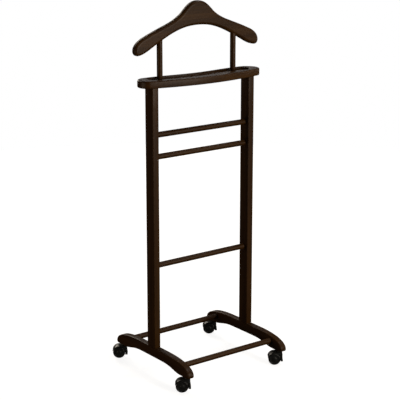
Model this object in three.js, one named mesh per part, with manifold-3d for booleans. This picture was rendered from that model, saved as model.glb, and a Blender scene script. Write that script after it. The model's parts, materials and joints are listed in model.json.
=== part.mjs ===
// Valet stand: a jacket hanger on two dowels, a bow-shaped tray, two posts joined by rungs,
// and two arched feet joined by bars, on four swivelling twin-wheel casters.
// Millimetres, +X to the wearer's right, -Y to the front, +Z up; the origin is on the floor
// under the middle of the stand.
import * as THREE from 'three';
import { mergeVertices } from 'three/addons/utils/BufferGeometryUtils.js';
import Module from 'manifold-3d';

const wasm = await Module();
wasm.setup();

// ---- Driving dimensions ----------------------------------------------------------------------

const STAND_HEIGHT = 1075;
const SIDE_X = 170; // middle of each post and foot
const SIDE_THICKNESS = 20; // posts and feet, along X
const POST_DEPTH = 38;
const DOWEL_RADIUS = 8.25; // rungs, base bars and hanger posts
const DOWEL_SIDES = 16;
const SMALL_SIDES = 10; // pins, screws and axles

const HANGER_THICKNESS = 22;
const HANGER_EDGE = 8; // radius on the hanger's edges
const HANGER_POST_X = 129.5;
const HANGER_POST_Y = 18.5;
const HANGER_POST_TOP = 978;

const TRAY_TOP = 869;
const TRAY_THICKNESS = 21;
const TRAY_EDGE = 3.5;
const RECESS_DEPTH = 6;

const RUNG_HEIGHTS = { trouser_rung_upper: 711, trouser_rung_lower: 648, low_rung: 329 };
const TENON = 12; // how far a rung or bar goes into its post or foot

const FOOT_HALF_LENGTH = 182.5;
const FOOT_TOP = 86;
const FOOT_ARCH = 56; // height of the underside in the middle
const FOOT_PAD = 43.5; // height of the underside over the casters
const FOOT_EDGE = 2.5;
const BASE_BAR_Y = 131;
const BASE_BAR_Z = 66;

const CASTER_Y = 161;
const CASTER_TRAIL = 13.5; // from the stem back to the axle
const CASTER_HEADING = THREE.MathUtils.degToRad(144.3); // the way the casters trail, from +X
const WHEEL_RADIUS = 18.6;
const WHEEL_SIDES = 20;
const AXLE_Z = WHEEL_RADIUS * Math.cos(Math.PI / WHEEL_SIDES); // a flat of the tread is down
const HOOD_HALF_WIDTH = 14;
const FENDER_OUTER = 20.4;
const FENDER_INNER = 19.2;
const WEB_HALF_WIDTH = 5.5;
const STEM_RADIUS = 3.5;
const AXLE_RADIUS = 2;
const SOCKET_RADIUS = 5;
const STEM_SIDES = 12;

const PIN_RADIUS = 4;
const PIN_YS = { front: -11, back: 11 };
const FOOT_SCREW_RADIUS = 3;
const HANGER_SCREW_RADIUS = 2;

const GAP = 0.3; // all round a round piece in its hole
const FACE_GAP = 0.2; // between flat faces that meet

// Values worked out from them
const HANGER_REACH = 217.3;
const TRAY_BOTTOM = TRAY_TOP - TRAY_THICKNESS;
const RECESS_FLOOR = TRAY_TOP - RECESS_DEPTH;
const SIDE_INNER_X = SIDE_X - SIDE_THICKNESS / 2;
const TENON_X = SIDE_INNER_X + TENON;
const SIDES = { left: -1, right: 1 };

// ---- Materials -------------------------------------------------------------------------------

const finish = (color, roughness, metalness) =>
  new THREE.MeshStandardMaterial({ color, roughness, metalness });

const materials = {
  walnut: () => finish(0x3c2a1e, 0.4, 0),
  pin_wood: () => finish(0xb08a5c, 0.7, 0),
  hood_plastic: () => finish(0x1c1c1b, 0.45, 0),
  wheel_plastic: () => finish(0x121214, 0.5, 0),
  steel: () => finish(0x9a9a9c, 0.35, 1),
};

const stand = new THREE.Group();

function addPiece(name, geometry, material, group = stand) {
  const mesh = new THREE.Mesh(geometry, materials[material]());
  mesh.name = name;
  group.add(mesh);
}

// ---- Solids ----------------------------------------------------------------------------------

// One vertex at each corner and no flat triangles, which makes the surface closed.
function weld(geometry) {
  const bare = geometry.clone();
  bare.deleteAttribute('normal');
  bare.deleteAttribute('uv');
  const merged = mergeVertices(bare, 1e-4);
  const corners = Array.from(merged.index.array);
  const kept = [];
  for (let i = 0; i < corners.length; i += 3) {
    const [a, b, c] = corners.slice(i, i + 3);
    if (a !== b && b !== c && c !== a) kept.push(a, b, c);
  }
  merged.setIndex(kept);
  return merged;
}

function toSolid(geometry) {
  const { attributes, index } = weld(geometry);
  return new wasm.Manifold(
    new wasm.Mesh({
      numProp: 3,
      vertProperties: Float32Array.from(attributes.position.array),
      triVerts: Uint32Array.from(index.array),
    }),
  );
}

function toGeometry(solid) {
  const mesh = solid.getMesh();
  const geometry = new THREE.BufferGeometry();
  geometry.setAttribute('position', new THREE.BufferAttribute(mesh.vertProperties, 3));
  geometry.setIndex(new THREE.BufferAttribute(mesh.triVerts, 1));
  return geometry;
}

const cut = (body, tools) =>
  toGeometry(tools.reduce((rest, tool) => rest.subtract(toSolid(tool)), toSolid(body)));

const join = (pieces) =>
  toGeometry(pieces.map(toSolid).reduce((whole, piece) => whole.add(piece)));

// A profile of [radius, height] points turned about Z.
function turn(profile, sides) {
  const points = profile.map(([radius, height]) => new THREE.Vector2(radius, height));
  return new THREE.LatheGeometry(points, sides).rotateX(Math.PI / 2);
}

// A rod from z = low to z = high with small chamfers on its ends.
function rod(radius, low, high, sides, chamfer = 0.8) {
  const profile = [
    [0, low],
    [radius - chamfer, low],
    [radius, low + chamfer],
    [radius, high - chamfer],
    [radius - chamfer, high],
    [0, high],
  ];
  return turn(profile, sides);
}

// A plain cylinder that cuts a hole from z = low to z = high.
const drill = (radius, low, high, sides = DOWEL_SIDES) =>
  turn([[0, low], [radius, low], [radius, high], [0, high]], sides);

const alongX = (geometry) => geometry.rotateY(Math.PI / 2);

// An outline of points extruded by depth along its own Z, with rounded edges inside its size.
function plate(points, depth, edge, steps) {
  return new THREE.ExtrudeGeometry(new THREE.Shape(points), {
    depth: depth - 2 * edge,
    bevelEnabled: edge > 0,
    bevelSize: edge,
    bevelOffset: -edge,
    bevelThickness: edge,
    bevelSegments: steps,
  }).translate(0, 0, edge);
}

// Turns a plate drawn in X and Z so that its depth runs to the front, centred on y.
const facingFront = (geometry, depth, y) =>
  geometry.rotateX(Math.PI / 2).translate(0, y + depth / 2, 0);

// Turns a plate drawn in Y and Z so that its depth runs along X, centred on x.
const facingSide = (geometry, depth, x) =>
  geometry
    .applyMatrix4(
      new THREE.Matrix4().makeBasis(
        new THREE.Vector3(0, 1, 0),
        new THREE.Vector3(0, 0, 1),
        new THREE.Vector3(1, 0, 0),
      ),
    )
    .translate(x - depth / 2, 0, 0);

// A closed outline from its right half, a path that starts and ends on the centre line.
function mirrored(path, divisions) {
  const right = path.getPoints(divisions);
  const left = right
    .slice(1, -1)
    .reverse()
    .map((point) => new THREE.Vector2(-point.x, point.y));
  return [...right, ...left];
}

// ---- Hanger and its posts --------------------------------------------------------------------

// The right half, from the middle of the underside round the arm's end to the crown.
function hangerOutline() {
  const top = STAND_HEIGHT;
  const end = HANGER_REACH;
  const half = new THREE.Path();
  half.moveTo(0, top - 68.5);
  half.bezierCurveTo(55, top - 68.5, 90, top - 84, 150, top - 116.3);
  half.bezierCurveTo(168, top - 126, 186, top - 138.5, 205, top - 139.7);
  half.bezierCurveTo(212, top - 140, end, top - 134, end, top - 126);
  half.bezierCurveTo(end, top - 110, 204, top - 100, 190, top - 93);
  half.bezierCurveTo(162, top - 80.4, 133, top - 70, 105, top - 59.7);
  half.bezierCurveTo(83, top - 51.6, 62, top - 39.6, 50, top - 27);
  half.bezierCurveTo(34, top - 10.2, 20, top, 0, top);
  return mirrored(half, 6);
}

function makeHanger() {
  const board = facingFront(
    plate(hangerOutline(), HANGER_THICKNESS, HANGER_EDGE, 2),
    HANGER_THICKNESS,
    HANGER_POST_Y,
  );
  const sockets = Object.values(SIDES).map((side) =>
    drill(DOWEL_RADIUS + GAP, HANGER_POST_TOP - 30, HANGER_POST_TOP + GAP).translate(
      side * HANGER_POST_X,
      HANGER_POST_Y,
      0,
    ),
  );
  addPiece('hanger', cut(board, sockets), 'walnut');
}

const POST_SEAT = TRAY_BOTTOM + 10; // foot of a hanger post, inside the tray
const SCREW_HEAD_TOP = TRAY_BOTTOM + 4; // hanger screw, sunk into the tray's underside

function makeHangerPosts() {
  const pilot = HANGER_SCREW_RADIUS + GAP;
  for (const [word, side] of Object.entries(SIDES)) {
    const post = cut(rod(DOWEL_RADIUS, POST_SEAT, HANGER_POST_TOP, DOWEL_SIDES), [
      drill(pilot, POST_SEAT - 5, POST_SEAT + 26, SMALL_SIDES),
    ]);
    post.translate(side * HANGER_POST_X, HANGER_POST_Y, 0);
    addPiece(`hanger_post_${word}`, post, 'walnut');
    const screw = turn(
      [
        [0, SCREW_HEAD_TOP - 3.2],
        [4, SCREW_HEAD_TOP - 3.2],
        [4, SCREW_HEAD_TOP - GAP],
        [HANGER_SCREW_RADIUS, SCREW_HEAD_TOP - GAP],
        [HANGER_SCREW_RADIUS, POST_SEAT + 22],
        [0, POST_SEAT + 25],
      ],
      SMALL_SIDES,
    ).translate(side * HANGER_POST_X, HANGER_POST_Y, 0);
    addPiece(`hanger_screw_${word}`, screw, 'steel');
  }
}

// ---- Tray ------------------------------------------------------------------------------------

// Right half in plan, from the middle of the front edge round the end to the back edge.
function trayOutline() {
  const half = new THREE.Path();
  half.moveTo(0, -52.5);
  half.bezierCurveTo(70, -52.5, 130, -41, 190, -25);
  half.bezierCurveTo(199, -22.6, 208.5, -10, 208.5, 6);
  half.bezierCurveTo(208.5, 20, 193, 41, 172, 41);
  half.bezierCurveTo(105, 42.5, 62, 28, 0, 28);
  return mirrored(half, 6);
}

function recessOutline() {
  const half = new THREE.Path();
  half.moveTo(0, -38.5);
  half.bezierCurveTo(55, -38.5, 100, -32, 150, -21);
  half.bezierCurveTo(168, -17, 176, -8, 176, 6);
  half.bezierCurveTo(176, 22, 166, 33, 146, 33);
  half.bezierCurveTo(100, 34, 58, 20, 0, 20);
  return mirrored(half, 6);
}

function makeTray() {
  const plank = plate(trayOutline(), TRAY_THICKNESS, TRAY_EDGE, 2).translate(0, 0, TRAY_BOTTOM);
  const tools = [plate(recessOutline(), 2 * RECESS_DEPTH, 0, 0).translate(0, 0, RECESS_FLOOR)];
  for (const side of Object.values(SIDES)) {
    const holes = [
      drill(DOWEL_RADIUS + GAP, POST_SEAT - GAP, TRAY_TOP + 5),
      drill(HANGER_SCREW_RADIUS + GAP, TRAY_BOTTOM - 5, TRAY_TOP, SMALL_SIDES),
      drill(4 + GAP, TRAY_BOTTOM - 5, SCREW_HEAD_TOP, SMALL_SIDES),
    ];
    tools.push(...holes.map((hole) => hole.translate(side * HANGER_POST_X, HANGER_POST_Y, 0)));
    for (const y of Object.values(PIN_YS)) {
      const hole = drill(PIN_RADIUS + GAP, TRAY_BOTTOM - 5, TRAY_BOTTOM + 12, SMALL_SIDES);
      tools.push(hole.translate(side * SIDE_X, y, 0));
    }
  }
  addPiece('tray', cut(plank, tools), 'walnut');
}

// ---- Posts, rungs and bars -------------------------------------------------------------------

function roundedSection(width, depth, radius) {
  const x = width / 2 - radius;
  const y = depth / 2 - radius;
  const section = new THREE.Shape();
  section.absarc(x, y, radius, 0, Math.PI / 2);
  section.absarc(-x, y, radius, Math.PI / 2, Math.PI);
  section.absarc(-x, -y, radius, Math.PI, 1.5 * Math.PI);
  section.absarc(x, -y, radius, 1.5 * Math.PI, 2 * Math.PI);
  return section;
}

const FOOT_SCREW_TOP = FOOT_TOP + 42;

function makePosts() {
  const low = FOOT_TOP + FACE_GAP;
  const high = TRAY_BOTTOM - FACE_GAP;
  for (const [word, side] of Object.entries(SIDES)) {
    const section = roundedSection(SIDE_THICKNESS, POST_DEPTH, 2.5);
    const stile = new THREE.ExtrudeGeometry(section, {
      depth: high - low,
      bevelEnabled: false,
      curveSegments: 3,
    }).translate(0, 0, low);
    const holes = Object.values(RUNG_HEIGHTS).map((height) => {
      const bore = alongX(drill(DOWEL_RADIUS + GAP, -TENON - GAP, SIDE_THICKNESS));
      return bore.scale(-side, -side, 1).translate(-side * (SIDE_THICKNESS / 2), 0, height);
    });
    for (const y of Object.values(PIN_YS)) {
      const hole = drill(PIN_RADIUS + GAP, TRAY_BOTTOM - 16, TRAY_BOTTOM + 5, SMALL_SIDES);
      holes.push(hole.translate(0, y, 0));
    }
    for (const y of Object.values(PIN_YS)) {
      const hole = drill(PIN_RADIUS + GAP, FOOT_TOP - 5, FOOT_TOP + 16, SMALL_SIDES);
      holes.push(hole.translate(0, y, 0));
    }
    holes.push(drill(FOOT_SCREW_RADIUS + GAP, FOOT_TOP - 5, FOOT_SCREW_TOP + 1, SMALL_SIDES));
    addPiece(`post_${word}`, cut(stile, holes).translate(side * SIDE_X, 0, 0), 'walnut');
  }
}

const crossRod = () => alongX(rod(DOWEL_RADIUS, -TENON_X, TENON_X, DOWEL_SIDES));

function makeRungsAndBars() {
  for (const [name, height] of Object.entries(RUNG_HEIGHTS)) {
    addPiece(name, crossRod().translate(0, 0, height), 'walnut');
  }
  for (const [word, way] of Object.entries({ front: -1, back: 1 })) {
    const bar = crossRod().translate(0, way * BASE_BAR_Y, BASE_BAR_Z);
    addPiece(`base_bar_${word}`, bar, 'walnut');
  }
}

function makeDowelPins() {
  for (const [word, side] of Object.entries(SIDES)) {
    for (const [place, y] of Object.entries(PIN_YS)) {
      const pin = rod(PIN_RADIUS, TRAY_BOTTOM - 15.5, TRAY_BOTTOM + 11.5, SMALL_SIDES);
      addPiece(`tray_pin_${word}_${place}`, pin.translate(side * SIDE_X, y, 0), 'pin_wood');
    }
    for (const [place, y] of Object.entries(PIN_YS)) {
      const pin = rod(PIN_RADIUS, FOOT_TOP - 13.5, FOOT_TOP + 15.5, SMALL_SIDES);
      addPiece(`foot_pin_${word}_${place}`, pin.translate(side * SIDE_X, y, 0), 'pin_wood');
    }
  }
}

// ---- Feet ------------------------------------------------------------------------------------

// The front half in Y and Z, from the middle of the underside round the toe to the top.
function footOutline() {
  const toe = FOOT_HALF_LENGTH;
  const half = new THREE.Path();
  half.moveTo(0, FOOT_ARCH);
  half.lineTo(50, FOOT_ARCH);
  half.bezierCurveTo(100, FOOT_ARCH, 110, FOOT_PAD, 140, FOOT_PAD);
  half.lineTo(175, FOOT_PAD);
  half.quadraticCurveTo(toe, FOOT_PAD, toe, FOOT_PAD + 6.5);
  half.bezierCurveTo(toe, FOOT_TOP - 10, 130, FOOT_TOP, 60, FOOT_TOP);
  half.lineTo(0, FOOT_TOP);
  return mirrored(half, 6);
}

const FOOT_SCREW_SEAT = FOOT_ARCH + 5;
const SOCKET_TOP = FOOT_PAD + 18;

function makeFeet() {
  for (const [word, side] of Object.entries(SIDES)) {
    const board = facingSide(
      plate(footOutline(), SIDE_THICKNESS, FOOT_EDGE, 2),
      SIDE_THICKNESS,
      0,
    );
    const holes = [
      drill(7, FOOT_ARCH - 5, FOOT_SCREW_SEAT),
      drill(FOOT_SCREW_RADIUS + GAP, FOOT_ARCH, FOOT_TOP + 5, SMALL_SIDES),
    ];
    for (const y of Object.values(PIN_YS)) {
      const hole = drill(PIN_RADIUS + GAP, FOOT_TOP - 14, FOOT_TOP + 5, SMALL_SIDES);
      holes.push(hole.translate(0, y, 0));
    }
    for (const way of [-1, 1]) {
      const bore = alongX(drill(DOWEL_RADIUS + GAP, -TENON - GAP, SIDE_THICKNESS));
      bore.scale(-side, -side, 1).translate(-side * (SIDE_THICKNESS / 2), 0, 0);
      holes.push(bore.translate(0, way * BASE_BAR_Y, BASE_BAR_Z));
      const socket = drill(SOCKET_RADIUS + GAP, FOOT_PAD - 5, SOCKET_TOP + GAP, STEM_SIDES);
      holes.push(socket.translate(0, way * CASTER_Y, 0));
    }
    addPiece(`foot_${word}`, cut(board, holes).translate(side * SIDE_X, 0, 0), 'walnut');
    const screw = turn(
      [
        [0, FOOT_SCREW_SEAT - 4],
        [6, FOOT_SCREW_SEAT - 4],
        [6, FOOT_SCREW_SEAT - GAP],
        [FOOT_SCREW_RADIUS, FOOT_SCREW_SEAT - GAP],
        [FOOT_SCREW_RADIUS, FOOT_SCREW_TOP - 5],
        [0, FOOT_SCREW_TOP],
      ],
      SMALL_SIDES,
    );
    addPiece(`foot_screw_${word}`, screw.translate(side * SIDE_X, 0, 0), 'steel');
  }
}

// ---- Casters ---------------------------------------------------------------------------------

// Each caster is drawn with its stem on the Z axis, trailing along +X, its axle along Y.

const FLANGE_TOP = FOOT_PAD - FACE_GAP;
const FLANGE_BOTTOM = FLANGE_TOP - 1;
const BOSS_TOP = FLANGE_BOTTOM - GAP;
const HOOD_TOP = BOSS_TOP - 3;
const STEM_FOOT = 27;
const SKIRT_X = -10;
const SKIRT_BOTTOM = 12;

function arcPoints(radius, from, to, count) {
  const points = [];
  for (let i = 0; i <= count; i += 1) {
    const angle = THREE.MathUtils.degToRad(from + ((to - from) * i) / count);
    const x = CASTER_TRAIL + radius * Math.cos(angle);
    points.push(new THREE.Vector2(x, AXLE_Z + radius * Math.sin(angle)));
  }
  return points;
}

// Side view of the shell that wraps the wheels: fender behind and above, skirt in front.
function shellOutline() {
  const lip = 15; // degrees above the axle where the fender ends
  const skirtEnd = 199;
  return [
    ...arcPoints(FENDER_OUTER, lip, 88, 6),
    new THREE.Vector2(3, HOOD_TOP),
    new THREE.Vector2(SKIRT_X + 1.5, HOOD_TOP),
    new THREE.Vector2(SKIRT_X, HOOD_TOP - 1.5),
    new THREE.Vector2(SKIRT_X, 26),
    new THREE.Vector2(SKIRT_X - 2, SKIRT_BOTTOM),
    ...arcPoints(FENDER_INNER, skirtEnd, lip, 11),
  ];
}

// Side view of the web between the wheels, which carries the axle.
function webOutline() {
  return [
    new THREE.Vector2(SKIRT_X + 1, HOOD_TOP - 1),
    new THREE.Vector2(SKIRT_X + 1, 16),
    ...arcPoints(7, 225, 345, 5),
    new THREE.Vector2(CASTER_TRAIL + 14, AXLE_Z + 13.5),
    new THREE.Vector2(CASTER_TRAIL, HOOD_TOP - 2),
  ];
}

// A side view swept evenly to both sides of the middle plane.
const acrossCaster = (points, halfWidth) =>
  facingFront(plate(points, 2 * halfWidth, 0, 0), 2 * halfWidth, 0);

function hoodGeometry() {
  const body = join([
    acrossCaster(shellOutline(), HOOD_HALF_WIDTH),
    acrossCaster(webOutline(), WEB_HALF_WIDTH),
    drill(7, HOOD_TOP - 1, BOSS_TOP),
  ]);
  const axleHole = drill(AXLE_RADIUS + GAP, -10, 10, SMALL_SIDES).rotateX(Math.PI / 2);
  return cut(body, [
    axleHole.translate(CASTER_TRAIL, 0, AXLE_Z),
    drill(STEM_RADIUS + GAP, STEM_FOOT - GAP, BOSS_TOP + 5, STEM_SIDES),
  ]);
}

// A wheel about Z, its hub bore open below and its dished face on top.
function wheelGeometry() {
  const inner = WEB_HALF_WIDTH + 0.6;
  const outer = HOOD_HALF_WIDTH - 0.8;
  const bore = AXLE_RADIUS + GAP;
  const profile = [
    [0, outer - 3.2],
    [bore, outer - 3.2],
    [bore, inner],
    [WHEEL_RADIUS, inner],
    [WHEEL_RADIUS, outer - 3.5],
    [WHEEL_RADIUS - 1.5, outer - 1],
    [WHEEL_RADIUS - 4.5, outer],
    [0, outer - 0.8],
  ];
  return turn(profile, WHEEL_SIDES).rotateZ(Math.PI / WHEEL_SIDES);
}

function makeCaster(name, x, y) {
  const caster = new THREE.Group();
  caster.position.set(x, y, 0);
  caster.rotation.z = CASTER_HEADING;
  stand.add(caster);

  const socket = turn(
    [
      [0, SOCKET_TOP - 2],
      [STEM_RADIUS + GAP, SOCKET_TOP - 2],
      [STEM_RADIUS + GAP, FLANGE_BOTTOM],
      [8.5, FLANGE_BOTTOM],
      [8.5, FLANGE_TOP],
      [SOCKET_RADIUS, FLANGE_TOP],
      [SOCKET_RADIUS, SOCKET_TOP],
      [0, SOCKET_TOP],
    ],
    STEM_SIDES,
  );
  addPiece(`${name}_socket`, socket, 'hood_plastic', caster);
  addPiece(`${name}_stem`, rod(STEM_RADIUS, STEM_FOOT, SOCKET_TOP - 3, STEM_SIDES), 'steel', caster);
  addPiece(`${name}_hood`, hoodGeometry(), 'hood_plastic', caster);

  const axleReach = HOOD_HALF_WIDTH - 4.6;
  const axle = rod(AXLE_RADIUS, -axleReach, axleReach, SMALL_SIDES, 0.4).rotateX(Math.PI / 2);
  addPiece(`${name}_axle`, axle.translate(CASTER_TRAIL, 0, AXLE_Z), 'steel', caster);
  for (const [mark, way] of Object.entries({ a: -1, b: 1 })) {
    const wheel = wheelGeometry().rotateX(way > 0 ? -Math.PI / 2 : Math.PI / 2);
    wheel.translate(CASTER_TRAIL, 0, AXLE_Z);
    addPiece(`${name}_wheel_${mark}`, wheel, 'wheel_plastic', caster);
  }
}

function makeCasters() {
  for (const [place, way] of Object.entries({ front: -1, back: 1 })) {
    for (const [word, side] of Object.entries(SIDES)) {
      makeCaster(`caster_${place}_${word}`, side * SIDE_X, way * CASTER_Y);
    }
  }
}

makeHanger();
makeHangerPosts();
makeTray();
makePosts();
makeRungsAndBars();
makeDowelPins();
makeFeet();
makeCasters();

export default stand;
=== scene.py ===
# Looks of the valet stand: walnut-stained beech, black moulded casters, zinc-plated screws.
# Metres, in the part's own frame: +X to the wearer's right, -Y to the front, +Z up.
import json
import math

import bmesh
import bpy
from mathutils import Matrix, Vector


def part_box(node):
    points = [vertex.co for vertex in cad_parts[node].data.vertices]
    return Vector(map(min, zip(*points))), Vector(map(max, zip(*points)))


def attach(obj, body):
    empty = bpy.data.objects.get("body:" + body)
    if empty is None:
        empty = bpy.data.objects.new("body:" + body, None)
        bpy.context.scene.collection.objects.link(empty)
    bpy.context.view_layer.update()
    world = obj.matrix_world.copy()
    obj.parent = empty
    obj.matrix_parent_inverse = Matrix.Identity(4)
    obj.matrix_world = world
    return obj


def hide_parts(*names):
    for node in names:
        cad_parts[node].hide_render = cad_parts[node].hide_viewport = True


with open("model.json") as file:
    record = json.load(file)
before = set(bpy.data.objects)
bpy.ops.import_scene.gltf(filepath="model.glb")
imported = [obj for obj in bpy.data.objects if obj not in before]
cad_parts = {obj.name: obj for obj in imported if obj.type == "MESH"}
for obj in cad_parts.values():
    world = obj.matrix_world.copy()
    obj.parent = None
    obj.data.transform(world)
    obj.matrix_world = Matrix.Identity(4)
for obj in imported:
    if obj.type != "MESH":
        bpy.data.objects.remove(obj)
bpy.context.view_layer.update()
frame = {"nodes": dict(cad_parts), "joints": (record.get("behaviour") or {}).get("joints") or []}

MM = 0.001
FIT_GAP = 0.3  # millimetres left free round a pin or dowel in its hole
SIDES = {"left": -1, "right": 1}
PLACES = ("front", "back")
CASTERS = [f"caster_{place}_{side}" for place in PLACES for side in SIDES]


# ---- Camera, light and floor -----------------------------------------------------------------

def look_from(spot, target):
    """The turn that points a camera or light at spot towards target."""
    return (Vector(target) - Vector(spot)).to_track_quat("-Z", "Y").to_euler()


EYE = (-2.1469, -2.8582, 1.4585)
TURN_RIGHT = math.radians(36.82)  # from looking along +Y
TILT_DOWN = math.radians(14.142)


def make_camera():
    data = bpy.data.cameras.new("camera")
    data.lens = 114.52
    data.sensor_width = 36
    data.shift_x = 0.0029
    data.shift_y = -0.05
    data.clip_end = 60
    camera = bpy.data.objects.new("camera", data)
    camera.location = EYE
    camera.rotation_euler = (math.pi / 2 - TILT_DOWN, 0, -TURN_RIGHT)
    bpy.context.scene.collection.objects.link(camera)
    bpy.context.scene.camera = camera


def make_softbox(name, spot, target, size, watts, tint=(1, 1, 1)):
    data = bpy.data.lights.new(name, "AREA")
    data.shape = "RECTANGLE"
    data.size, data.size_y = size
    data.energy = watts
    data.color = tint
    lamp = bpy.data.objects.new(name, data)
    lamp.location = spot
    lamp.rotation_euler = look_from(spot, target)
    bpy.context.scene.collection.objects.link(lamp)


def make_lights():
    middle = (0, 0, 0.55)
    warm = (1, 0.90, 0.77)
    make_softbox("front_softbox", (0.9, -3.2, 1.1), middle, (1.4, 1.4), 52, warm)
    make_softbox("right_softbox", (3.2, -0.6, 1.2), middle, (1.2, 1.2), 12, warm)
    make_softbox("upper_right_softbox", (1.15, -0.45, 2.7), middle, (0.6, 0.6), 9)
    make_softbox("left_fill", (-3.2, 0.3, 0.25), middle, (1.2, 0.8), 15, (1, 0.80, 0.55))
    make_softbox("back_card", (2.0, 2.7, 1.7), middle, (1.1, 0.5), 2)
    make_softbox("back_fill", (0.3, 3.4, 2.0), middle, (1.6, 1.6), 62, warm)


def make_world():
    """A white surround for the eye, and a weaker one for the light that falls on the stand."""
    world = bpy.data.worlds.new("studio_surround")
    bpy.context.scene.world = world
    world.use_nodes = True
    nodes, links = world.node_tree.nodes, world.node_tree.links
    nodes.clear()
    seen = nodes.new("ShaderNodeBackground")
    seen.inputs["Strength"].default_value = 1.0
    lighting = nodes.new("ShaderNodeBackground")
    lighting.inputs["Strength"].default_value = 0.02
    for shade in (seen, lighting):
        shade.inputs["Color"].default_value = (1, 1, 1, 1)
    path = nodes.new("ShaderNodeLightPath")
    mix = nodes.new("ShaderNodeMixShader")
    output = nodes.new("ShaderNodeOutputWorld")
    links.new(path.outputs["Is Camera Ray"], mix.inputs[0])
    links.new(lighting.outputs[0], mix.inputs[1])
    links.new(seen.outputs[0], mix.inputs[2])
    links.new(mix.outputs[0], output.inputs["Surface"])


# ---- Materials -------------------------------------------------------------------------------

def new_material(name):
    material = bpy.data.materials.new(name)
    material.use_nodes = True
    tree = material.node_tree
    tree.nodes.clear()
    shader = tree.nodes.new("ShaderNodeBsdfPrincipled")
    output = tree.nodes.new("ShaderNodeOutputMaterial")
    tree.links.new(shader.outputs[0], output.inputs["Surface"])
    return material, tree, shader


def object_pattern(tree, scale, shift=(0, 0, 0)):
    """Object coordinates, stretched by scale and moved by shift."""
    place = tree.nodes.new("ShaderNodeTexCoord")
    mapping = tree.nodes.new("ShaderNodeMapping")
    mapping.inputs["Scale"].default_value = scale
    mapping.inputs["Location"].default_value = shift
    tree.links.new(place.outputs["Object"], mapping.inputs["Vector"])
    return mapping.outputs[0]


def noise(tree, vector, scale=1.0, detail=4.0, roughness=0.55, distortion=0.0):
    node = tree.nodes.new("ShaderNodeTexNoise")
    node.inputs["Scale"].default_value = scale
    node.inputs["Detail"].default_value = detail
    node.inputs["Roughness"].default_value = roughness
    node.inputs["Distortion"].default_value = distortion
    tree.links.new(vector, node.inputs["Vector"])
    return node.outputs["Fac"]


def ramp(tree, factor, stops):
    node = tree.nodes.new("ShaderNodeValToRGB")
    colours = node.color_ramp.elements
    while len(colours) < len(stops):
        colours.new(0.5)
    for element, (position, colour) in zip(colours, stops):
        element.position = position
        element.color = (*colour, 1) if len(colour) == 3 else colour
    tree.links.new(factor, node.inputs["Fac"])
    return node.outputs["Color"]


def grey(value):
    return (value, value, value)


def multiply(tree, first, second, amount=1.0):
    node = tree.nodes.new("ShaderNodeMix")
    node.data_type = "RGBA"
    node.blend_type = "MULTIPLY"
    node.inputs["Factor"].default_value = amount
    tree.links.new(first, node.inputs[6])
    tree.links.new(second, node.inputs[7])
    return node.outputs[2]


def spread(tree, factor, low, high):
    """A value from 0 to 1 moved to run from low to high."""
    node = tree.nodes.new("ShaderNodeMapRange")
    node.inputs["To Min"].default_value = low
    node.inputs["To Max"].default_value = high
    tree.links.new(factor, node.inputs["Value"])
    return node.outputs[0]


def add_bump(tree, shader, height, distance, strength=1.0):
    bump = tree.nodes.new("ShaderNodeBump")
    bump.inputs["Distance"].default_value = distance
    bump.inputs["Strength"].default_value = strength
    tree.links.new(height, bump.inputs["Height"])
    tree.links.new(bump.outputs[0], shader.inputs["Normal"])


def make_walnut(name, along):
    """Walnut stain under satin lacquer, its grain running along axis 0, 1 or 2."""
    material, tree, shader = new_material(name)

    def stretched(across, lengthwise):
        scale = [across, across, across]
        scale[along] = lengthwise
        return scale

    figure = noise(tree, object_pattern(tree, stretched(34, 2.2), (3.1, 1.7, 5.3)), 1, 3, 0.5, 0.8)
    streaks = noise(tree, object_pattern(tree, stretched(330, 7)), 1, 5, 0.6, 0.15)
    pores = noise(tree, object_pattern(tree, stretched(1500, 55)), 1, 2, 0.5)
    tone = noise(tree, object_pattern(tree, (4, 4, 4), (0.4, 2.2, 7.9)), 1, 1, 0.5)
    stain = ramp(tree, figure, [
        (0.30, (0.0450, 0.0172, 0.0030)),
        (0.50, (0.0660, 0.0268, 0.0052)),
        (0.72, (0.0900, 0.0392, 0.0090)),
    ])
    streak_shade = ramp(tree, streaks, [(0.30, grey(0.66)), (0.62, grey(1.0))])
    pore_shade = ramp(tree, pores, [(0.34, grey(0.55)), (0.44, grey(1.0))])
    tone_shade = ramp(tree, tone, [(0.3, grey(0.86)), (0.7, grey(1.0))])
    colour = multiply(tree, stain, streak_shade, 0.85)
    colour = multiply(tree, colour, pore_shade, 0.7)
    colour = multiply(tree, colour, tone_shade)
    tree.links.new(colour, shader.inputs["Base Color"])
    tree.links.new(spread(tree, streaks, 0.46, 0.34), shader.inputs["Roughness"])
    shader.inputs["Specular IOR Level"].default_value = 0.19
    height = multiply(tree, streak_shade, pore_shade)
    add_bump(tree, shader, height, 0.00012, 0.55)
    return material


def make_bare_beech():
    """The wood of the dowel pins, with neither stain nor lacquer."""
    material, tree, shader = new_material("bare_beech")
    streaks = noise(tree, object_pattern(tree, (700, 700, 22)), 1, 4)
    colour = ramp(tree, streaks, [(0.3, (0.36, 0.21, 0.10)), (0.7, (0.55, 0.36, 0.20))])
    tree.links.new(colour, shader.inputs["Base Color"])
    shader.inputs["Roughness"].default_value = 0.7
    add_bump(tree, shader, streaks, 0.00015, 0.6)
    return material


def make_moulded_plastic(name, dark, light, rough_low, rough_high, grain):
    """Black moulded plastic with a fine spark-eroded texture and faint scuffing."""
    material, tree, shader = new_material(name)
    clouds = noise(tree, object_pattern(tree, (130, 130, 130)), 1, 4, 0.6)
    texture = noise(tree, object_pattern(tree, (grain, grain, grain)), 1, 3, 0.6)
    tree.links.new(ramp(tree, clouds, [(0.35, dark), (0.7, light)]), shader.inputs["Base Color"])
    tree.links.new(spread(tree, clouds, rough_low, rough_high), shader.inputs["Roughness"])
    add_bump(tree, shader, texture, 0.00006, 0.5)
    return material


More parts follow.
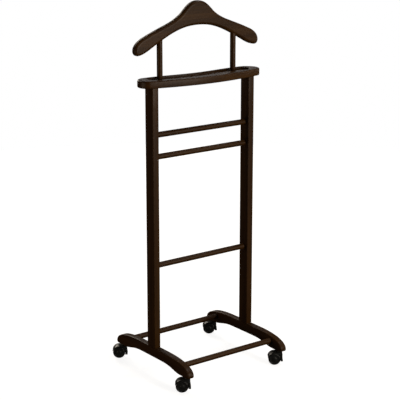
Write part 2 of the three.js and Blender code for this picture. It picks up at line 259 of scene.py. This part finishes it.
def make_zinc_plate():
    """Bright plated steel with fine drawing marks, for screws, stems and axles."""
    material, tree, shader = new_material("zinc_plated_steel")
    marks = noise(tree, object_pattern(tree, (900, 900, 120)), 1, 4)
    colour = ramp(tree, marks, [(0.3, (0.40, 0.40, 0.41)), (0.7, (0.62, 0.62, 0.63))])
    tree.links.new(colour, shader.inputs["Base Color"])
    tree.links.new(spread(tree, marks, 0.24, 0.42), shader.inputs["Roughness"])
    shader.inputs["Metallic"].default_value = 1
    add_bump(tree, shader, marks, 0.00003, 0.4)
    return material


def make_floor_white():
    """A pale matt floor that glows enough to stay white under soft light."""
    material, tree, shader = new_material("pale_floor")
    shader.inputs["Base Color"].default_value = (0.50, 0.50, 0.50, 1)
    shader.inputs["Roughness"].default_value = 0.9
    shader.inputs["Specular IOR Level"].default_value = 0.1
    shader.inputs["Emission Color"].default_value = (1, 1, 1, 1)
    shader.inputs["Emission Strength"].default_value = 0.87
    return material


# ---- Mesh helpers ----------------------------------------------------------------------------

SMOOTH_BELOW = math.radians(38)
DOWEL_SIDES = 56
HOLE_SIDES = 48


def curve_points(start, curves, steps):
    """Points along joined Bezier curves, each given as (handle, handle, end, share of steps)."""
    points = [Vector(start)]
    for first, second, end, share in curves:
        a, b, c, d = points[-1], Vector(first), Vector(second), Vector(end)
        count = max(1, round(steps * share))
        for i in range(1, count + 1):
            t = i / count
            s = 1 - t
            points.append(s * s * s * a + 3 * s * s * t * b + 3 * s * t * t * c + t * t * t * d)
    return points


def mirrored(half):
    """A closed outline from the half that starts and ends on the centre line."""
    return half + [Vector((-p.x, p.y)) for p in reversed(half[1:-1])]


def in_millimetres(points):
    return [p * MM for p in points]


def grown(outline, by):
    """A closed outline, drawn anticlockwise, moved outwards along its own normals."""
    moved = []
    for before, here, after in zip(outline[-1:] + outline[:-1], outline, outline[1:] + outline[:1]):
        along = (after - before).normalized()
        moved.append(here + Vector((along.y, -along.x)) * by)
    return moved


def add_loop(bm, outline, placed):
    """A ring of edges through the outline's points, each put in space by placed(point)."""
    verts = [bm.verts.new(placed(p)) for p in outline]
    return [bm.edges.new((a, b)) for a, b in zip(verts, verts[1:] + verts[:1])]


def add_board(bm, outline, placed, depth):
    """A flat board: the outline filled, then extruded by the depth vector."""
    ring = add_loop(bm, outline, placed)
    face = bmesh.ops.contextual_create(bm, geom=ring)["faces"]
    swept = bmesh.ops.extrude_face_region(bm, geom=face)["geom"]
    moved = [v for v in swept if isinstance(v, bmesh.types.BMVert)]
    bmesh.ops.translate(bm, verts=moved, vec=depth)
    bmesh.ops.recalc_face_normals(bm, faces=bm.faces[:])


def round_edges(bm, edges, radius, segments):
    bmesh.ops.bevel(
        bm, geom=edges, offset=radius, offset_type="OFFSET", segments=segments,
        profile=0.5, affect="EDGES", material=-1, clamp_overlap=False,
    )


def corner_edges(bm, axis, sharper_than=60):
    """Edges that turn through a corner between a face that looks along axis and its neighbour."""
    found = []
    for edge in bm.edges:
        if len(edge.link_faces) != 2:
            continue
        turn = math.degrees(edge.calc_face_angle(0))
        if turn > sharper_than and any(abs(f.normal[axis]) > 0.99 for f in edge.link_faces):
            found.append(edge)
    return found


def ease_flats(bm, axis, width, least_corners=9):
    """A narrow border round each big flat face, which keeps its shading flat."""
    flats = [f for f in bm.faces if len(f.verts) >= least_corners and abs(f.normal[axis]) > 0.99]
    bmesh.ops.inset_region(bm, faces=flats, thickness=width, use_even_offset=True)


def add_turned(bm, profile, turned, steps):
    """A profile of (radius, height) points spun round the Z axis, then placed by a matrix."""
    verts = [bm.verts.new(Vector((radius, 0, height)) * MM) for radius, height in profile]
    edges = [bm.edges.new(pair) for pair in zip(verts, verts[1:])]
    bmesh.ops.spin(
        bm, geom=verts + edges, cent=(0, 0, 0), axis=(0, 0, 1), dvec=(0, 0, 0),
        angle=math.tau, steps=steps, use_merge=True, use_duplicate=False,
    )
    fresh = [v for v in bm.verts if v.is_valid and not v.tag]
    bmesh.ops.remove_doubles(bm, verts=fresh, dist=1e-6)
    fresh = [v for v in bm.verts if not v.tag]
    bmesh.ops.recalc_face_normals(bm, faces=[f for f in bm.faces if not f.tag])
    bmesh.ops.transform(bm, matrix=turned, verts=fresh)
    keep_apart(bm)


def keep_apart(bm):
    """Marks what is already made, so that the next solid is worked on alone."""
    for v in bm.verts:
        v.tag = True
    for f in bm.faces:
        f.tag = True


def finish_piece(bm, name, material, body, node):
    """Makes a finished bmesh the piece that stands for a node of the frame."""
    mesh = bpy.data.meshes.new(name)
    bm.to_mesh(mesh)
    bm.free()
    mesh.materials.append(material)
    for polygon in mesh.polygons:
        polygon.use_smooth = True
    mesh.set_sharp_from_angle(angle=SMOOTH_BELOW)
    piece = bpy.data.objects.new(name, mesh)
    bpy.context.scene.collection.objects.link(piece)
    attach(piece, body)
    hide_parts(node)


def drill_mesh(bm, holes):
    """Cuts upright round holes, each (x, y, radius, low, high), and gives the mesh back."""
    plain = bpy.data.meshes.new("undrilled")
    bm.to_mesh(plain)
    bm.free()
    bits = bmesh.new()
    for x, y, radius, low, high in holes:
        bmesh.ops.create_cone(
            bits, cap_ends=True, segments=HOLE_SIDES, radius1=radius, radius2=radius, depth=high - low,
            matrix=Matrix.Translation((x, y, (low + high) / 2)),
        )
    bit_mesh = bpy.data.meshes.new("bits")
    bits.to_mesh(bit_mesh)
    bits.free()
    blank = bpy.data.objects.new("blank", plain)
    cutter = bpy.data.objects.new("cutter", bit_mesh)
    for thing in (blank, cutter):
        bpy.context.scene.collection.objects.link(thing)
    cut = blank.modifiers.new("drilled", "BOOLEAN")
    cut.operation, cut.solver, cut.object = "DIFFERENCE", "EXACT", cutter
    cut.use_self = True
    bpy.context.view_layer.update()
    shown = blank.evaluated_get(bpy.context.evaluated_depsgraph_get())
    drilled = bmesh.new()
    drilled.from_mesh(shown.to_mesh())
    for thing in (blank, cutter):
        bpy.data.objects.remove(thing)
    return drilled


# ---- Hanger ----------------------------------------------------------------------------------

HANGER_EDGE = 8 * MM
HANGER_EASED = 0.8 * MM
HANGER_BORE_DEPTH = 40 * MM
WOOD_STEPS = 60  # along each half outline


def hanger_outline():
    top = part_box("hanger")[1].z / MM
    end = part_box("hanger")[1].x / MM
    half = curve_points((0, top - 68.5), [
        ((55, top - 68.5), (90, top - 84), (150, top - 116.3), 0.22),
        ((168, top - 126), (186, top - 138.5), (205, top - 139.7), 0.14),
        ((212, top - 140), (end, top - 134), (end, top - 126), 0.14),
        ((end, top - 110), (204, top - 100), (190, top - 93), 0.16),
        ((162, top - 80.4), (133, top - 70), (105, top - 59.7), 0.14),
        ((83, top - 51.6), (62, top - 39.6), (50, top - 27), 0.16),
        ((34, top - 10.2), (20, top), (0, top), 0.20),
    ], WOOD_STEPS)
    return in_millimetres(mirrored(half))


def make_hanger(walnut):
    low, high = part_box("hanger")
    bm = bmesh.new()
    add_board(bm, hanger_outline(), lambda p: (p.x, low.y, p.y), (0, high.y - low.y, 0))
    round_edges(bm, corner_edges(bm, 1), HANGER_EDGE, 7)
    ease_flats(bm, 1, HANGER_EASED)
    holes = []
    for side in SIDES:
        post_low, post_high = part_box(f"hanger_post_{side}")
        middle = (post_low + post_high) / 2
        bore = (post_high.x - post_low.x) / 2 + FIT_GAP * MM
        holes.append((middle.x, middle.y, bore, post_high.z - HANGER_BORE_DEPTH, post_high.z))
    bm = drill_mesh(bm, holes)
    finish_piece(bm, "jacket_hanger", walnut, "root", "hanger")


# ---- Tray ------------------------------------------------------------------------------------

TRAY_EDGE = 3.5 * MM
RIM_EDGE = 1.4 * MM
EASED = 0.6 * MM
RECESS_DEPTH = 6 * MM
TRAY_STEPS = 64
LEVEL = 1e-6  # how far apart two heights may be and still be the same


def tray_outline():
    return in_millimetres(mirrored(curve_points((0, -52.5), [
        ((70, -52.5), (130, -41), (190, -25), 0.30),
        ((199, -22.6), (208.5, -10), (208.5, 6), 0.20),
        ((208.5, 20), (193, 41), (172, 41), 0.22),
        ((105, 42.5), (62, 28), (0, 28), 0.28),
    ], TRAY_STEPS)))


def recess_outline():
    return in_millimetres(mirrored(curve_points((0, -38.5), [
        ((55, -38.5), (100, -32), (150, -21), 0.30),
        ((168, -17), (176, -8), (176, 6), 0.20),
        ((176, 22), (166, 33), (146, 33), 0.22),
        ((100, 34), (58, 20), (0, 20), 0.28),
    ], TRAY_STEPS)))


def step_from(bm, ring, line, new_line, height):
    """Extrudes a ring of edges that lies on line, and moves the new ring to new_line at height."""
    made = bmesh.ops.extrude_edge_only(bm, edges=ring)["geom"]
    for vert in (v for v in made if isinstance(v, bmesh.types.BMVert)):
        nearest = min(range(len(line)), key=lambda i: (line[i] - vert.co.xy).length_squared)
        vert.co = (*new_line[nearest], height)
    return [e for e in made if isinstance(e, bmesh.types.BMEdge) and e.is_boundary]


def level_edges(bm, height):
    return [e for e in bm.edges if all(abs(v.co.z - height) < LEVEL for v in e.verts)]


def make_tray(walnut):
    low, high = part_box("tray")
    bm = bmesh.new()
    add_board(bm, tray_outline(), lambda p: (p.x, p.y, low.z), (0, 0, high.z - low.z))
    round_edges(bm, corner_edges(bm, 2), TRAY_EDGE, 5)
    ease_flats(bm, 2, EASED)
    top = max((f for f in bm.faces if f.normal.z > 0.99), key=lambda f: len(f.verts))
    rim = list(top.edges)
    bmesh.ops.delete(bm, geom=[top], context="FACES_ONLY")
    mouth_line = recess_outline()
    border_line = grown(mouth_line, RIM_EDGE + EASED)
    border = add_loop(bm, border_line, lambda p: (p.x, p.y, high.z))
    bmesh.ops.triangle_fill(bm, use_beauty=True, edges=rim + border, normal=(0, 0, 1))
    mouth_ring = step_from(bm, border, border_line, mouth_line, high.z)
    floor_ring = step_from(bm, mouth_ring, mouth_line, mouth_line, high.z - RECESS_DEPTH)
    bmesh.ops.contextual_create(bm, geom=floor_ring)
    bmesh.ops.recalc_face_normals(bm, faces=bm.faces[:])
    mouth = [e for e in level_edges(bm, high.z) if math.degrees(e.calc_face_angle(0)) > 60]
    foot = level_edges(bm, high.z - RECESS_DEPTH)
    round_edges(bm, mouth, RIM_EDGE, 4)
    round_edges(bm, foot, RIM_EDGE, 3)
    floor = [f for f in bm.faces if len(f.verts) > 8 and f.normal.z > 0.99]
    bmesh.ops.inset_region(bm, faces=floor, thickness=EASED, use_even_offset=True)
    holes = []
    past = 2 * MM  # how far a drill runs past the wood
    head_height = 3.2 * MM
    for side in SIDES:
        post_low, post_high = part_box(f"hanger_post_{side}")
        screw_low, screw_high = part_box(f"hanger_screw_{side}")
        middle = (post_low + post_high) / 2
        bore = (post_high.x - post_low.x) / 2 + 0.2 * MM
        sink = (screw_high.x - screw_low.x) / 2 + FIT_GAP * MM
        holes.append((middle.x, middle.y, bore, post_low.z - FIT_GAP * MM, high.z + past))
        holes.append((middle.x, middle.y, sink, low.z - past, screw_low.z + head_height))
    bm = drill_mesh(bm, holes)
    finish_piece(bm, "bow_tray", walnut, "root", "tray")


# ---- Posts, rungs and bars -------------------------------------------------------------------

POST_EDGE = 2 * MM
POST_END_EDGE = 0.4 * MM
POST_RINGS = 12


def upright_edges(bm):
    return [e for e in bm.edges if abs(e.verts[0].co.z - e.verts[1].co.z) > 0.1]


def make_posts(walnut):
    for side in SIDES:
        low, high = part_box(f"post_{side}")
        size, middle = high - low, (low + high) / 2
        bm = bmesh.new()
        bmesh.ops.create_cube(bm, size=1, matrix=Matrix.LocRotScale(middle, None, size))
        round_edges(bm, upright_edges(bm), POST_EDGE, 5)
        round_edges(bm, corner_edges(bm, 2), POST_END_EDGE, 2)
        bmesh.ops.subdivide_edges(bm, edges=upright_edges(bm), cuts=POST_RINGS)
        finish_piece(bm, f"side_post_{side}", walnut, "root", f"post_{side}")


# Where a dowel enters the wood it has a fine groove, and its hidden ends are chamfered.

DOWEL_CHAMFER = 0.8
DOWEL_GROOVE = 0.35
GROOVE_WIDTH = 0.5


def dowel_profile(radius, half_length, shoulder):
    """Radius and height along a rung, from one tenon's end to the other's."""
    upper = [
        (0, half_length),
        (radius - DOWEL_CHAMFER, half_length),
        (radius, half_length - DOWEL_CHAMFER),
        (radius, shoulder + 0.1),
        (radius - DOWEL_GROOVE, shoulder),
        (radius - DOWEL_GROOVE, shoulder - GROOVE_WIDTH),
        (radius, shoulder - GROOVE_WIDTH - 0.25),
        *[(radius, (shoulder - 1.2) * step / 4) for step in (3, 2, 1, 0)],
    ]
    return upper + [(r, -z) for r, z in reversed(upper[:-1])]


def make_rungs(walnut):
    names = {
        "trouser_rung_upper": "upper_trouser_rung",
        "trouser_rung_lower": "lower_trouser_rung",
        "low_rung": "low_rung_dowel",
        "base_bar_front": "front_base_bar",
        "base_bar_back": "back_base_bar",
    }
    inner_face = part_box("post_right")[0].x / MM
    for node, name in names.items():
        low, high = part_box(node)
        middle = (low + high) / 2
        radius, half_length = (high.z - low.z) / 2 / MM, (high.x - low.x) / 2 / MM
        bm = bmesh.new()
        across = Matrix.Translation(middle) @ Matrix.Rotation(math.pi / 2, 4, "Y")
        add_turned(bm, dowel_profile(radius, half_length, inner_face), across, DOWEL_SIDES)
        finish_piece(bm, name, walnut, "root", node)


def make_hanger_posts(walnut):
    seat = (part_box("tray")[1].z - RECESS_DEPTH) / MM
    for side in SIDES:
        low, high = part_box(f"hanger_post_{side}")
        middle = (low + high) / 2
        radius = (high.x - low.x) / 2 / MM
        foot, head = low.z / MM, high.z / MM
        profile = [
            (0, foot),
            (radius - DOWEL_CHAMFER, foot),
            (radius, foot + DOWEL_CHAMFER),
            (radius, seat - 0.2),
            (radius - DOWEL_GROOVE, seat),
            (radius - DOWEL_GROOVE, seat + GROOVE_WIDTH),
            (radius, seat + 0.8),
            *[(radius, seat + 0.8 + (head - seat - 2) * step / 5) for step in range(1, 6)],
            (radius - DOWEL_CHAMFER, head),
            (0, head),
        ]
        bm = bmesh.new()
        add_turned(bm, profile, Matrix.Translation((middle.x, middle.y, 0)), DOWEL_SIDES)
        name = f"hanger_dowel_{side}"
        finish_piece(bm, name, walnut, "root", f"hanger_post_{side}")


# ---- Feet ------------------------------------------------------------------------------------

FOOT_EDGE = 2.6 * MM
FOOT_EASED = 0.6 * MM
FOOT_ARCH = 12.5  # how far the underside rises between the casters
SCREW_WELL_RADIUS = 7 * MM


def foot_outline():
    """Y and Z of the foot's side view, given as X and Y of the points."""
    low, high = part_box("foot_left")
    toe, top, pad = high.y / MM, high.z / MM, low.z / MM
    arch = pad + FOOT_ARCH
    return in_millimetres(mirrored(curve_points((0, arch), [
        ((17, arch), (33, arch), (50, arch), 0.10),
        ((100, arch), (110, pad), (140, pad), 0.20),
        ((152, pad), (163, pad), (175, pad), 0.08),
        ((180, pad), (toe, pad + 2.2), (toe, pad + 6.5), 0.14),
        ((toe, top - 10), (130, top), (60, top), 0.38),
        ((40, top), (20, top), (0, top), 0.10),
    ], WOOD_STEPS)))


def make_feet(walnut):
    for side in SIDES:
        low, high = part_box(f"foot_{side}")
        bm = bmesh.new()
        add_board(bm, foot_outline(), lambda p: (low.x, p.x, p.y), (high.x - low.x, 0, 0))
        round_edges(bm, corner_edges(bm, 0), FOOT_EDGE, 5)
        ease_flats(bm, 0, FOOT_EASED)
        screw_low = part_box(f"foot_screw_{side}")[0]
        middle = (low + high) / 2
        seat = screw_low.z + 4 * MM
        well = (middle.x, 0, SCREW_WELL_RADIUS, low.z - 10 * MM, seat)
        bm = drill_mesh(bm, [well])
        finish_piece(bm, f"arched_foot_{side}", walnut, "root", f"foot_{side}")


# ---- Casters ---------------------------------------------------------------------------------

# Each is made with its stem on the Z axis, trailing along +X, its axle along Y, in millimetres.

TRAIL = 13.5
HOOD_HALF_WIDTH = 14.0
HOOD_DROP = 3.0  # from the top of its boss to the top of its shell
SKIRT = -10.0  # how far in front of the stem the shell reaches
FENDER_OUTER = 20.4
FENDER_INNER = 19.2
WEB_HALF_WIDTH = 5.5
WHEEL_FACE = 13.2


def joint_spot(name):
    found = next(j for j in frame["joints"] if j["name"] == name)
    return Vector(found["pos_m"])


def caster_place(name):
    """The matrix from a caster's own frame to the stand's."""
    stem = joint_spot(f"{name}_swivel")
    axle = joint_spot(f"{name}_spin_a")
    heading = math.atan2(axle.y - stem.y, axle.x - stem.x)
    return Matrix.Translation((stem.x, stem.y, 0)) @ Matrix.Rotation(heading, 4, "Z")


AXLE_Z = joint_spot(f"{CASTERS[0]}_spin_a").z / MM


def arc(radius, start, stop, count):
    angles = [math.radians(start + (stop - start) * i / count) for i in range(count + 1)]
    return [Vector((TRAIL + radius * math.cos(a), AXLE_Z + radius * math.sin(a))) for a in angles]


def add_slab(bm, outline, half_width, edge, segments=3):
    """A caster's side view given its width, with its outer edges eased."""
    fresh = bmesh.new()
    ring = in_millimetres(outline)
    width = half_width * MM
    add_board(fresh, ring, lambda p: (p.x, -width, p.y), (0, 2 * width, 0))
    if edge:
        round_edges(fresh, corner_edges(fresh, 1), edge * MM, segments)
    pass_on(fresh, bm)


def pass_on(fresh, bm):
    """Adds one finished solid to the piece it belongs to."""
    mesh = bpy.data.meshes.new("solid")
    fresh.to_mesh(mesh)
    fresh.free()
    bm.from_mesh(mesh)
    bpy.data.meshes.remove(mesh)
    keep_apart(bm)


def make_hood(name, plastic):
    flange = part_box(f"{name}_socket")[0].z / MM
    boss_top = flange - FIT_GAP
    crown = boss_top - HOOD_DROP
    shell = [
        *arc(FENDER_OUTER, 15, 88, 22),
        Vector((3, crown)),
        Vector((SKIRT + 3.2, crown)),
        Vector((SKIRT + 1.2, crown - 0.7)),
        Vector((SKIRT + 0.2, crown - 2.2)),
        Vector((SKIRT, crown - 4)),
        Vector((SKIRT, 26)),
        Vector((SKIRT - 0.6, 20)),
        Vector((SKIRT - 2, 12)),
        *arc(FENDER_INNER, 199, 15, 44),
    ]
    web = [
        Vector((SKIRT + 1, crown - 1.5)),
        Vector((SKIRT + 1, 16)),
        *arc(7, 225, 345, 12),
        Vector((TRAIL + 14, AXLE_Z + 11.5)),
        Vector((TRAIL, crown - 2.5)),
    ]
    boss = [
        (0, crown - 1),
        (9.4, crown - 1),
        (9.2, crown),
        (8.0, crown + 0.4),
        (7.3, crown + 1.0),
        (7, crown + 1.8),
        (7, boss_top - 0.4),
        (6.6, boss_top),
        (0, boss_top),
    ]
    bm = bmesh.new()
    add_slab(bm, shell, HOOD_HALF_WIDTH, 0.55)
    add_slab(bm, web, WEB_HALF_WIDTH, 0.4, 2)
    turned = bmesh.new()
    add_turned(turned, boss, Matrix.Identity(4), 40)
    pass_on(turned, bm)
    bmesh.ops.transform(bm, matrix=caster_place(name), verts=bm.verts[:])
    title = name.replace("caster_", "hood_")
    finish_piece(bm, title, plastic, f"{name}_fork", f"{name}_hood")


def make_wheels(name, plastic):
    radius = AXLE_Z
    profile = [
        (0, 9.8), (2.3, 9.8), (2.3, 6.1), (radius - 0.9, 6.1), (radius - 0.2, 6.4), (radius, 7.1),
        (radius, 9.4), (radius - 0.25, 10.6), (radius - 0.95, 11.7), (radius - 2.0, 12.5),
        (radius - 3.2, 12.9), (radius - 4.2, 12.95), (radius - 4.7, 12.7), (radius - 5.0, 12.1),
        (radius - 5.6, 11.9), (radius - 7.5, 11.9), (6.6, 12.1), (5.9, 12.4), (5.4, 12.9),
        (4.6, WHEEL_FACE - 0.05), (2.0, WHEEL_FACE), (0, WHEEL_FACE),
    ]
    axle = Matrix.Translation((TRAIL * MM, 0, AXLE_Z * MM))
    for mark, way in (("a", -1), ("b", 1)):
        bm = bmesh.new()
        placed = caster_place(name) @ axle @ Matrix.Rotation(-way * math.pi / 2, 4, "X")
        add_turned(bm, profile, placed, 72)
        title = f"{name.replace('caster_', 'roller_')}_{mark}"
        body = f"{name}_roller_{mark}"
        finish_piece(bm, title, plastic, body, f"{name}_wheel_{mark}")


def make_socket(name, plastic):
    low, high = (corner.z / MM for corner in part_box(f"{name}_socket"))
    bore, wall, brim = 3.8, 5.0, 8.5
    profile = [
        (0, high - 2), (bore, high - 2), (bore, low), (brim - 0.4, low), (brim, low + 0.3),
        (brim, low + 0.7), (brim - 0.3, low + 1), (wall, low + 1), (wall, high), (0, high),
    ]
    bm = bmesh.new()
    add_turned(bm, profile, caster_place(name), 48)
    title = name.replace("caster_", "stem_socket_")
    finish_piece(bm, title, plastic, "root", f"{name}_socket")


# ---- What stays as made in the frame ---------------------------------------------------------

def finish_frame_nodes(beech, steel):
    for node, thing in frame["nodes"].items():
        if "pin_" in node:
            finish = beech
        elif "screw" in node or node.endswith(("_stem", "_axle")):
            finish = steel
        else:
            continue
        for place in thing.material_slots:
            place.material = finish


def make_floor():
    bm = bmesh.new()
    bmesh.ops.create_circle(bm, cap_ends=True, segments=96, radius=3)
    mesh = bpy.data.meshes.new("studio_floor")
    bm.to_mesh(mesh)
    bm.free()
    mesh.materials.append(make_floor_white())
    floor = bpy.data.objects.new("studio_floor", mesh)
    bpy.context.scene.collection.objects.link(floor)
    floor.visible_diffuse = False
    floor.visible_glossy = False


# ---- Everything ------------------------------------------------------------------------------

bpy.context.scene.view_settings.view_transform = "Standard"
make_camera()
make_world()
make_lights()
make_floor()

walnut_along_x = make_walnut("walnut_grain_along_x", 0)
walnut_along_y = make_walnut("walnut_grain_along_y", 1)
walnut_along_z = make_walnut("walnut_grain_along_z", 2)
hood_plastic = make_moulded_plastic(
    "satin_hood_plastic", (0.0125, 0.0138, 0.0135), (0.022, 0.024, 0.0235), 0.34, 0.46, 2600)
roller_plastic = make_moulded_plastic(
    "smooth_roller_plastic", (0.008, 0.009, 0.009), (0.015, 0.0165, 0.0165), 0.38, 0.5, 1500)

make_hanger(walnut_along_x)
make_tray(walnut_along_x)
make_posts(walnut_along_z)
make_rungs(walnut_along_x)
make_hanger_posts(walnut_along_z)
make_feet(walnut_along_y)
for caster in CASTERS:
    make_hood(caster, hood_plastic)
    make_wheels(caster, roller_plastic)
    make_socket(caster, hood_plastic)
finish_frame_nodes(make_bare_beech(), make_zinc_plate())
